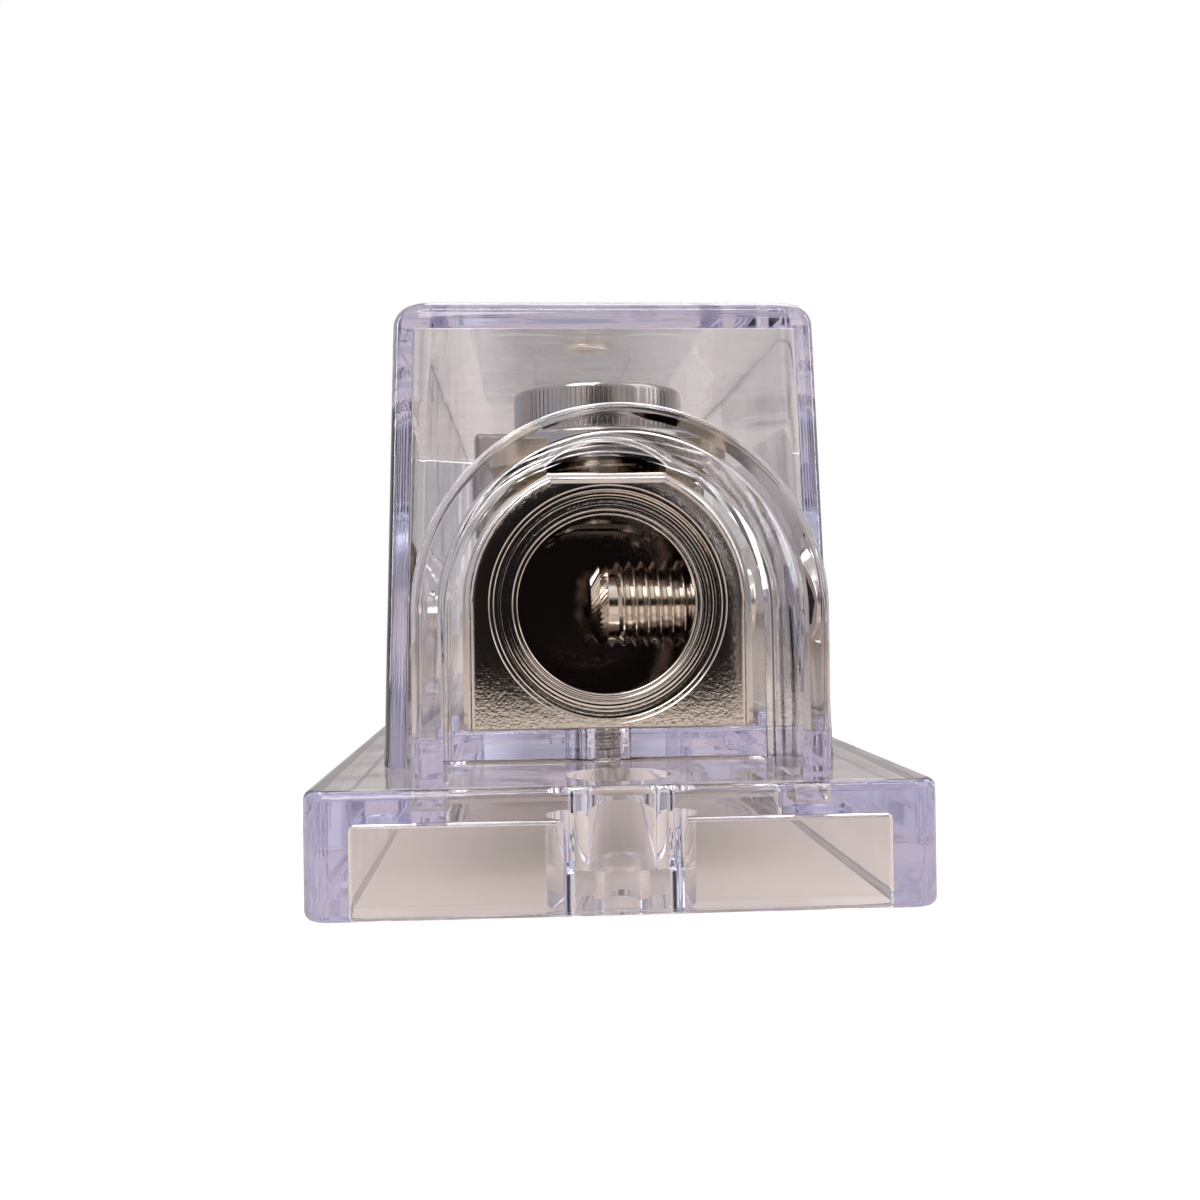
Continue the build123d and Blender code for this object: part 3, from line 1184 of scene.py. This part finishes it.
@dataclass
class Terminal:
    """A plated terminal block: arched bar with a flat top, stepped bore and screw holes."""

    half_x: float = 10.2
    ys: Pair = (-41.0, -21.5)
    low_z: float = 10.12
    top_z: float = 28.0
    axis_z: float = 18.7
    edge: float = 0.9
    mouth: tuple[Pair, ...] = (
        (8.3, 0.0),
        (8.28, 0.15),
        (7.98, 0.15),
        (7.93, 1.2),
        (6.68, 1.2),
        (6.65, 1.4),
        (6.36, 1.4),
        (6.3, 1.6),
    )
    bore_depth: float = 15.0
    lip: float = 0.09
    side_y: float = -35.0
    side_r: float = 3.22
    clamp_y: float = -30.5
    clamp_r: float = 4.0

    def build(self, finishes: Finishes) -> None:
        """Builds both terminals.

        Args:
            finishes: The holder's finishes.
        """
        block = Bench.doorway("terminal", self.half_x, self.axis_z, self.low_z, self.ys, 160)
        Bench.cut(block, Bench.block("over", (-20, -60, self.top_z), (20, 0, 60)))
        Bench.merge_flat(block)
        Bench.round_edges(block, self._on_end, self.edge, 6)
        side_start, top_start = (0, self.side_y, self.axis_z), (0, self.clamp_y, self.axis_z)
        side = Bench.round_bar("side", self.side_r, side_start, 14, Along.X, sides=64)
        top = Bench.round_bar("top", self.clamp_r, top_start, 12, sides=64)
        Bench.cut(block, self._bore())
        Bench.merge_flat(block)
        for ring in self.mouth[::2]:
            on_ring = both(lambda point: self._on_ring(point, *ring))
            Bench.round_edges(block, on_ring, self.lip, 3)
        Bench.smooth(Bench.cut(block, side, top))
        dress_ends(block, finishes.nickel, "nickel_plate", "terminal_block_{}", "terminal_{}")

    def _bore(self) -> Piece:
        """Makes the tool that cuts the stepped mouth and the bore behind it.

        Returns:
            The tool, reaching a little out of the face.
        """
        face_y = self.ys[0]
        (outer, _), (inner, depth) = self.mouth[:2]
        lead = (2 * outer - inner, -depth)
        profile = [lead, *self.mouth[1:], (self.mouth[-1][0], self.bore_depth)]
        bpy.ops.object.select_all(action="DESELECT")
        bpy.ops.mesh.primitive_circle_add(
            vertices=128,
            radius=lead[0],
            fill_type="NGON",
            location=(0, face_y + lead[1], self.axis_z),
            rotation=Along.Y.value,
        )
        tool = Bench.named("bore")
        Bench.open_all(tool)
        for (near, start), (far, end) in zip(profile, profile[1:]):
            bpy.ops.mesh.extrude_region_move(
                TRANSFORM_OT_translate={"value": (0, end - start, 0)}
            )
            bpy.ops.transform.resize(
                value=(far / near, 1, far / near),
                center_override=(0, face_y + end, self.axis_z),
            )
        bpy.ops.mesh.select_all(action="SELECT")
        bpy.ops.mesh.normals_make_consistent(inside=False)
        bpy.ops.object.mode_set(mode="OBJECT")
        return tool

    def _on_end(self, a: Vector, b: Vector) -> bool:
        """Tells whether an edge runs round an end face and off its foot."""
        return max(a.z, b.z) > self.low_z + NEAR and abs(a.y - b.y) < NEAR

    def _on_ring(self, point: Vector, radius: float, depth: float) -> bool:
        """Tells whether a point is on a ring of the mouth, by its radius and depth."""
        away = math.hypot(point.x, point.z - self.axis_z)
        return abs(away - radius) < 0.03 and abs(point.y - (self.ys[0] + depth)) < 0.03


@dataclass
class SetScrew:
    """Grub screw that clamps the cable: thread, knurled cup point and hexagon socket."""

    radius: float = 3.17
    core: float = 2.6
    pitch: float = 0.89
    crest_share: float = 0.13
    foot_share: float = 0.82
    length: float = 12.0
    tip: Point = (-1.0, -35.0, 18.7)
    collar: Pair = (2.75, 2.5)
    collar_length: float = 0.9
    point: float = 1.25
    point_r: float = 2.85
    nose: float = 0.72
    slant: float = -34.0
    valley: float = 0.92
    cup_r: float = 1.6
    hexagon: float = 3.0
    hexagon_depth: float = 3.5
    plain: float = 1.2
    softened: float = 0.08
    teeth: int = 38

    def build(self, finishes: Finishes) -> None:
        """Builds both set screws.

        Args:
            finishes: The holder's finishes.
        """
        core = Bench.round_bar(
            "core", self.core, (0, 0, self.point - 0.2), self.length - self.point + 0.1
        )
        thread = Bench.thread(
            self.core,
            self.radius,
            self.pitch,
            (self.length - self.point - self.plain) / self.pitch,
            (0, 0, self.point - 0.1),
            crest_share=self.crest_share,
            foot_share=self.foot_share,
        )
        start = (0, 0, self.length - self.collar_length)
        wide, narrow = self.collar
        collar = Bench.round_bar(
            "collar", wide, start, self.collar_length, tip_radius=narrow
        )
        Bench.join(core, collar)
        Bench.cut(core, Bench.hexagon(self.hexagon, self.length, self.hexagon_depth))
        Bench.soften(core, self.softened, 2, 30)
        screw = Bench.gather("set_screw", core, thread, self._point())
        screw.rotation_euler = Along.X.value
        screw.location = self.tip
        Bench.smooth(Bench.settle(screw), 30)
        names = ("grub_screw_{}", "set_screw_{}")
        dress_ends(screw, finishes.screw, "screw_steel", *names, moves=True)

    def _point(self) -> Piece:
        """Makes the cup point with its slanting serrations.

        Returns:
            The point, with its tip at the origin.
        """
        tip = Bench.round_bar("point", self.point_r, (0, 0, 0), self.point, sides=self.teeth * 2)
        Bench.open_all(tip)
        bpy.ops.mesh.bisect(plane_co=(0, 0, self.point / 2), plane_no=(0, 0, 1))
        bpy.ops.object.mode_set(mode="OBJECT")
        middle = {"center_override": (0, 0, 0)}

        def in_valley(a: Vector, b: Vector) -> bool:
            """True on every second line along the point."""
            turn = math.atan2(a.y, a.x) / math.pi * self.teeth
            return abs(a.z - b.z) > 0.1 and round(turn) % 2 == 0

        Bench.pick(tip, Kind.EDGE, in_valley)
        bpy.ops.transform.resize(value=(self.valley, self.valley, 1), **middle)
        bpy.ops.object.mode_set(mode="OBJECT")
        rings = ((under(0), self.nose, 1.0), (between(0.1, self.point - 0.1), 1.0, 0.5))
        for ring, share, turn in rings:
            Bench.pick(tip, Kind.EDGE, ring)
            bpy.ops.transform.resize(value=(share, share, 1), **middle)
            angle = math.radians(self.slant * turn)
            bpy.ops.transform.rotate(value=angle, orient_axis="Z", **middle)
            bpy.ops.object.mode_set(mode="OBJECT")
        cup = Bench.round_bar("cup", self.cup_r, (0, 0, -0.15), 0.9, tip_radius=0.2, sides=48)
        return Bench.cut(tip, cup)


@dataclass
class ClampScrew:
    """Cap screw that clamps the fuse: knurled head, hexagon socket and threaded shank."""

    y: float = -30.5
    radius: float = 3.95
    core: float = 3.3
    pitch: float = 1.25
    tip_z: float = 24.8
    tip_taper: float = 0.35
    tip_length: float = 0.5
    seat_z: float = 31.0
    head_r: float = 6.38
    head_height: float = 4.0
    top_round: float = 0.45
    seat_round: float = 0.25
    plain: float = 1.4
    ribs: int = 100
    rib_depth: float = 0.05
    hexagon: float = 5.0
    hexagon_depth: float = 2.8

    def build(self, finishes: Finishes) -> None:
        """Builds both clamp screws.

        Args:
            finishes: The holder's finishes.
        """
        low, length = self.tip_z, self.seat_z - self.tip_z
        tip = Bench.round_bar(
            "shank",
            self.core - self.tip_taper,
            (0, 0, low),
            self.tip_length,
            tip_radius=self.core,
            sides=64,
        )
        core = Bench.round_bar("core", self.core, (0, 0, low + self.tip_length), length)
        shank = Bench.gather("shank", tip, core)
        turns = (length - self.plain) / self.pitch
        thread = Bench.thread(self.core, self.radius, self.pitch, turns, (0, 0, low + 0.25))
        screw = Bench.gather("clamp", self._head(), shank, thread)
        screw.location.y = self.y
        Bench.smooth(Bench.settle(screw), 30)
        names = ("cap_screw_{}", "clamp_screw_{}")
        dress_ends(screw, finishes.cap, "screw_steel", *names, moves=True)

    def _head(self) -> Piece:
        """Makes the head with its straight knurl and socket.

        Returns:
            The head, centred on Z.
        """
        top_z = self.seat_z + self.head_height
        head = Bench.round_bar(
            "head", self.head_r, (0, 0, self.seat_z), self.head_height, sides=self.ribs * 2
        )
        Bench.round_edges(head, above(top_z), self.top_round, 3)
        Bench.round_edges(head, under(self.seat_z), self.seat_round, 2)

        def in_groove(middle: Vector, normal: Vector) -> bool:
            """True on every second face of the rim."""
            turn = math.atan2(middle.y, middle.x) / math.pi * self.ribs
            return abs(normal.z) < 0.1 and round(turn - 0.5) % 2 == 0

        Bench.pick(head, Kind.FACE, in_groove)
        bpy.ops.mesh.inset(thickness=self.rib_depth, depth=self.rib_depth, use_individual=True)
        bpy.ops.object.mode_set(mode="OBJECT")
        return Bench.cut(head, Bench.hexagon(self.hexagon, top_z, self.hexagon_depth))


@dataclass
class Washer:
    """Plain washer under the clamp screw."""

    y: float = -30.5
    outer: float = 7.5
    inner: float = 4.2
    low_z: float = 29.82
    high_z: float = 30.98
    edge: float = 0.22

    def build(self, finishes: Finishes) -> None:
        """Builds both washers.

        Args:
            finishes: The holder's finishes.
        """
        start = (0, self.y, self.low_z)
        ring = Bench.round_bar("ring", self.outer, start, self.high_z - self.low_z)
        Bench.cut(ring, Bench.round_bar("eye", self.inner, (0, self.y, 28), 5))
        Bench.smooth(Bench.soften(ring, self.edge, 3, 50))
        dress_ends(ring, finishes.cap, "screw_steel", "washer_{}", "clamp_washer_{}")


@dataclass
class FixingScrew:
    """Slotted cheese-head screw that holds a terminal to the plinth from below."""

    screws: tuple[tuple[float, float, str], ...] = ((-36.5, 1.5, "outer"), (-23.8, 5.0, "inner"))
    head_r: float = 2.8
    head_low: float = 5.9
    head_high: float = 7.88
    head_round: float = 0.25
    slot_half: float = 0.4
    slot_depth: float = 1.0
    core: float = 1.2
    shank_r: float = 1.45
    pitch: float = 0.5
    run: float = 1.7
    sunk: float = 0.2
    plinth_z: float = 10.1

    def build(self, finishes: Finishes) -> None:
        """Builds the four fixing screws.

        Args:
            finishes: The holder's finishes.
        """
        low, high, half = self.head_low, self.head_high, self.slot_half
        for y, bite, place in self.screws:
            head = Bench.round_bar("head", self.head_r, (0, y, low), high - low)
            slot = Bench.block("slot", (-4, y - half, 4), (4, y + half, low + self.slot_depth))
            Bench.soften(Bench.cut(head, slot), self.head_round, 3, 50)
            length = self.plinth_z + bite - high + self.sunk
            core = Bench.round_bar("core", self.core, (0, y, high - self.sunk), length)
            turns = (self.run + bite) / self.pitch
            thread = Bench.thread(self.core, self.shank_r, self.pitch, turns, (0, y, high), 28)
            screw = Bench.smooth(Bench.gather("fixing", head, core, thread), 30)
            names = (f"cheese_head_{{}}_{place}", f"fixing_screw_{{}}_{place}")
            dress_ends(screw, finishes.cap, "screw_steel", *names)


@dataclass
class Fuse:
    """Strip fuse: slotted strip, two moulded shells and two rivets."""

    strip_x: float = 8.0
    strip_y: float = 40.5
    low_z: float = 28.02
    high_z: float = 29.8
    strip_corner: float = 2.0
    strip_edge: float = 0.15
    slot_y: float = 30.5
    slot_r: float = 4.2
    link_x: float = 2.25
    link_y: float = 6.5
    bite_x: float = 9.0
    shell_x: float = 10.0
    shell_y: float = 19.0
    middle_z: float = 28.9
    shell_half: float = 4.75
    shell_round: float = 0.6
    shell_edge: float = 0.12
    way_x: float = 8.1
    cavity: Pair = (8.5, 10.0)
    ceiling: float = 1.5
    window: Pair = (4.5, 9.0)
    window_depth: float = 0.5
    rivet_y: float = 14.5
    rivet_r: float = 1.4
    rivet_room: float = 0.05
    rivet_head: float = 2.3
    rivet_height: float = 0.6
    rivet_round: float = 0.4
    dimple_r: float = 0.7
    tool_zs: Pair = (27.0, 31.0)

    def build(self, finishes: Finishes) -> None:
        """Builds the strip, the shells and the rivets.

        Args:
            finishes: The holder's finishes.
        """
        dress(self._strip(), finishes.strip, "fuse_metal", "holder", "fuse_strip")
        upper = self._shell()
        Bench.only(upper)
        bpy.ops.object.duplicate(linked=False)
        lower = bpy.context.active_object
        lower.rotation_euler.y = math.pi
        lower.location.z = 2 * self.middle_z
        Bench.named("fuse_body_lower")
        dress(upper, finishes.smoke, "fuse_plastic", "holder", "fuse_shell_upper")
        dress(lower, finishes.smoke, "fuse_plastic", "holder", "fuse_shell_lower")
        dress_ends(self._rivet(), finishes.brass, "rivet_brass", "rivet_{}", "fuse_rivet_{}")

    def _strip(self) -> Piece:
        """Makes the slotted strip.

        Returns:
            The strip.
        """
        low, high = self.tool_zs
        strip = Bench.block(
            "fuse_strip_metal",
            (-self.strip_x, -self.strip_y, self.low_z),
            (self.strip_x, self.strip_y, self.high_z),
        )
        Bench.round_edges(strip, upright, self.strip_corner, 6)
        for side in (-1, 1):
            start = (0, side * self.slot_y, low)
            eye = Bench.round_bar("eye", self.slot_r, start, high - low, sides=64)
            ys = span((self.slot_y, self.strip_y + 2), side)
            mouth = Bench.block("mouth", (-self.slot_r, ys[0], low), (self.slot_r, ys[1], high))
            Bench.cut(strip, Bench.join(eye, mouth), self._bite(side), self._hole(side, 4))
        return Bench.smooth(Bench.soften(strip, self.strip_edge, 2, 50))

    def _bite(self, side: int) -> Piece:
        """Makes the tool that narrows the strip to its link on one side.

        Args:
            side: 1 for the right side and -1 for the left one.

        Returns:
            The tool.
        """
        low, high = self.tool_zs
        radius, middle = self.strip_x - self.link_x, side * self.bite_x
        bite = Bench.block(
            "bite", (middle - radius, -self.link_y, low), (middle + radius, self.link_y, high)
        )
        for far in (-1, 1):
            start = (side * self.strip_x, far * self.link_y, low)
            Bench.join(bite, Bench.round_bar("end", radius, start, high - low, sides=64))
        xs = span((self.link_x, 14), side)
        keep = Bench.block("keep", (xs[0], -20, low - 1), (xs[1], 20, high + 1))
        return Bench.combine(Merge.SHARED, bite, keep)

    def _hole(self, side: int, length: float) -> Piece:
        """Makes the tool for a rivet's hole at one end."""
        start = (0, side * self.rivet_y, self.tool_zs[0])
        return Bench.round_bar("hole", self.rivet_r + self.rivet_room, start, length, sides=48)

    def _shell(self) -> Piece:
        """Makes the upper shell, hollow over the link.

        Returns:
            The shell.
        """
        low, top_z = self.tool_zs[0], self.middle_z + self.shell_half
        way_z = self.high_z + 0.02
        shell = Bench.block(
            "fuse_body_upper",
            (-self.shell_x, -self.shell_y, self.middle_z + NEAR),
            (self.shell_x, self.shell_y, top_z),
        )
        Bench.round_edges(shell, reaches(self.middle_z + 1), self.shell_round, 4)
        (x, y), (wide, long) = self.cavity, self.window
        Bench.cut(
            shell,
            Bench.block("strip_way", (-self.way_x, -30, low), (self.way_x, 30, way_z)),
            Bench.block("hollow", (-x, -y, low), (x, y, top_z - self.ceiling)),
            Bench.block(
                "window", (-wide, -long, top_z - self.window_depth), (wide, long, top_z + 1)
            ),
        )
        for side in (-1, 1):
            Bench.cut(shell, self._hole(side, 9))
        return Bench.smooth(Bench.soften(shell, self.shell_edge, 2, 50))

    def _rivet(self) -> Piece:
        """Makes one rivet with a domed head at each end.

        Returns:
            The front rivet.
        """
        y, rise = -self.rivet_y, self.rivet_height
        low, high = self.middle_z - self.shell_half, self.middle_z + self.shell_half
        rivet = Bench.round_bar("rivet", self.rivet_r, (0, y, low), high - low, sides=48)
        for z, outer in ((low - rise, under(low - rise)), (high, above(high + rise))):
            head = Bench.round_bar("head", self.rivet_head, (0, y, z), rise, sides=64)
            Bench.round_edges(head, outer, self.rivet_round, 4)
            Bench.join(rivet, head)
        dimple = Bench.round_bar("dimple", self.dimple_r, (0, y, high + 0.3), 1, sides=32)
        return Bench.smooth(Bench.cut(rivet, dimple))


@dataclass(frozen=True)
class Lamp:
    """A soft lamp, placed and sized in metres, that faces the holder."""

    name: str
    place: Point
    size: Pair
    power: float
    seen_through: bool = True

    def add(self) -> None:
        """Adds the lamp, which shows through the clear walls only if that is set."""
        data = bpy.data.lights.new(self.name, "AREA")
        data.shape = "RECTANGLE"
        data.size, data.size_y = self.size
        data.energy = self.power
        lamp = bpy.data.objects.new(self.name, data)
        bpy.context.scene.collection.objects.link(lamp)
        lamp.location = self.place
        aim = Vector((0, 0, 0.02)) - Vector(self.place)
        lamp.rotation_euler = aim.to_track_quat("-Z", "Y").to_euler()
        lamp.visible_transmission = self.seen_through


@dataclass
class Studio:
    """Camera, floor, backdrop light and lamps."""

    eye: Point = (-5.909, -130.914, 18.440)
    yaw: float = 3.381
    pitch: float = 0.356
    roll: float = -0.756
    lens: float = 38.77
    bands: tuple[tuple[float, Point], ...] = (
        (0.0, (0.55, 0.50, 0.50)),
        (0.35, (0.46, 0.42, 0.43)),
        (0.44, (0.84, 0.80, 0.81)),
        (0.5, (0.36, 0.34, 0.34)),
        (0.66, (0.34, 0.32, 0.32)),
        (0.76, (0.80, 0.75, 0.74)),
        (0.92, (0.45, 0.42, 0.42)),
    )
    front: Point = (0.70, 0.64, 0.60)
    side: Point = (0.62, 0.65, 0.74)
    right_side: Point = (0.30, 0.30, 0.33)
    far_side: Point = (0.20, 0.19, 0.24)
    above: Point = (0.80, 0.80, 0.82)
    stand: Point = (0.012, 0.010, 0.010)
    stand_edge: Pair = (0.91, 0.965)
    front_edge: Pair = (-0.1, 0.1)
    middle_edge: Pair = (-0.2, 0.2)
    far_edge: Pair = (0.1, 0.35)
    side_edge: Pair = (0.15, 0.6)
    above_edge: Pair = (0.35, 0.85)
    backdrop_edge: Pair = (0.0, 0.5)
    backdrop_share: float = 0.12
    bounces: int = 22
    paper: Point = (0.58, 0.51, 0.46)
    pale: Point = (0.97, 0.97, 0.97)
    floor_glow: float = 0.5
    paper_glow: float = 0.25
    fade: Pair = (0.04, 0.12)
    # Painted shadow of the camera stand on the floor, seen only in reflections and through the
    # plastic.
    mat_edge: Pair = (0.168, 0.21)
    mat_slope: float = 0.3
    mat_side: Pair = (-0.01, 0.03)
    fade_long: float = 0.4
    lamps: tuple[Lamp, ...] = (
        Lamp("key", (-0.16, -0.36, 0.36), (0.3, 0.3), 1.4),
        Lamp("fill", (0.45, -0.2, 0.3), (0.4, 0.4), 0.8),
        Lamp("back", (0.1, 0.45, 0.65), (0.5, 0.5), 2.0),
        Lamp("strip_above", (0.0, -0.16, 0.5), (0.7, 0.03), 0.7, False),
        Lamp("strip_left", (-0.5, 0.29, 0.12), (0.03, 0.5), 0.3, False),
        Lamp("strip_right", (0.5, 0.29, 0.12), (0.03, 0.5), 0.3, False),
    )

    def build(self) -> None:
        """Sets up the camera, the world, the floor and the lamps."""
        self._camera()
        self._world()
        self._floor()
        for lamp in self.lamps:
            lamp.add()
        scene = bpy.context.scene
        scene.view_settings.view_transform = "Standard"
        scene.cycles.max_bounces = self.bounces
        scene.cycles.glossy_bounces = self.bounces
        scene.cycles.transmission_bounces = self.bounces

    def _camera(self) -> None:
        """Adds the camera that the photograph was taken with."""
        yaw, pitch, roll = (math.radians(a) for a in (self.yaw, self.pitch, self.roll))
        ahead = Vector(
            (math.sin(yaw) * math.cos(pitch), math.cos(yaw) * math.cos(pitch), math.sin(pitch))
        )
        right = Vector((math.cos(yaw), -math.sin(yaw), 0.0))
        up = right.cross(ahead)
        across = math.cos(roll) * right + math.sin(roll) * up
        upward = math.cos(roll) * up - math.sin(roll) * right
        turn = Matrix((across, upward, -ahead)).transposed()
        data = bpy.data.cameras.new("camera")
        data.lens = self.lens
        data.sensor_width = 36.0
        data.clip_start = 0.001
        camera = bpy.data.objects.new("camera", data)
        bpy.context.scene.collection.objects.link(camera)
        camera.matrix_world = Matrix.Translation(Vector(self.eye) * MM) @ turn.to_4x4()
        bpy.context.scene.camera = camera

    def _world(self) -> None:
        """Lights the holder from all round: pale walls, and the dark camera stand in front."""
        sh = Shader("studio", world=True)
        bpy.context.scene.world = sh.material
        across, along, height = sh.parts(sh.node("ShaderNodeTexCoord", output="Generated"))
        wall = sh.node("ShaderNodeValToRGB", {"stops": self.bands}, [across * 2.0 + 0.5])
        wall = sh.blend(along.ramped(*self.front_edge), self.front, wall)
        side = sh.blend(across.ramped(*self.middle_edge), self.side, self.right_side)
        side = sh.blend(along.ramped(*self.far_edge), side, self.far_side)
        side = sh.blend((across * across).ramped(*self.side_edge), wall, side)
        room = sh.blend(height.ramped(*self.above_edge), side, self.above)
        room = sh.blend((along * -1.0).ramped(*self.stand_edge), room, self.stand)
        camera, glass = sh.rays()
        backdrop = along.ramped(*self.backdrop_edge) * glass * self.backdrop_share
        around = sh.coloured("ShaderNodeBackground", room)
        white = sh.coloured("ShaderNodeBackground", WHITE)
        light = sh.mix((camera + backdrop).clamped(), around, white)
        sh.node("ShaderNodeOutputWorld", {}, {"Surface": light})

    def _floor(self) -> None:
        """Adds the pale floor, which fades into the backdrop far from the holder, with a painted
        shadow of the camera stand in front of it that only reflections and the clear plastic
        show.
        """
        bpy.ops.object.select_all(action="DESELECT")
        bpy.ops.mesh.primitive_plane_add(size=6.0, location=(0, 0, -0.0002))
        floor = Bench.named("floor")
        sh = Shader("floor_paper")
        x, y, _ = sh.parts(sh.place())
        camera, glass = sh.rays()
        glass = glass.clamped()
        far = (x * x + y * y * self.fade_long).root().ramped(*self.fade)
        # Painted shadow: a dark patch in front of the holder, seen only in reflections and
        # through the plastic.
        ahead = (y * -1.0).ramped(*self.mat_edge)
        stand_shadow = ahead * (y * -self.mat_slope - abs(x)).ramped(*self.mat_side)
        warm = sh.coloured("ShaderNodeBsdfDiffuse", self.paper)
        pale = sh.coloured("ShaderNodeBsdfDiffuse", self.pale)
        warm_glow = sh.coloured("ShaderNodeEmission", self.paper)
        white_glow = sh.coloured("ShaderNodeEmission", WHITE)
        lit = sh.mix(camera, warm, pale)
        glow = sh.mix(camera, warm_glow, white_glow)
        surface = sh.mix(camera * self.floor_glow + glass * self.paper_glow, lit, glow)
        surface = sh.mix(stand_shadow * glass, surface, sh.coloured("ShaderNodeEmission", self.stand))
        floor.data.materials.append(sh.finish(sh.mix(far * camera, surface, white_glow)))


def main() -> None:
    """Builds every piece in order."""
    logging.basicConfig(level=logging.INFO, format="%(message)s")
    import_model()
    finishes = Finishes()
    assemblies = (Tray, Lid, Terminal, SetScrew, ClampScrew, Washer, FixingScrew, Fuse)
    for assembly in assemblies:
        assembly().build(finishes)
    Studio().build()


if __name__ == "__main__":
    main()
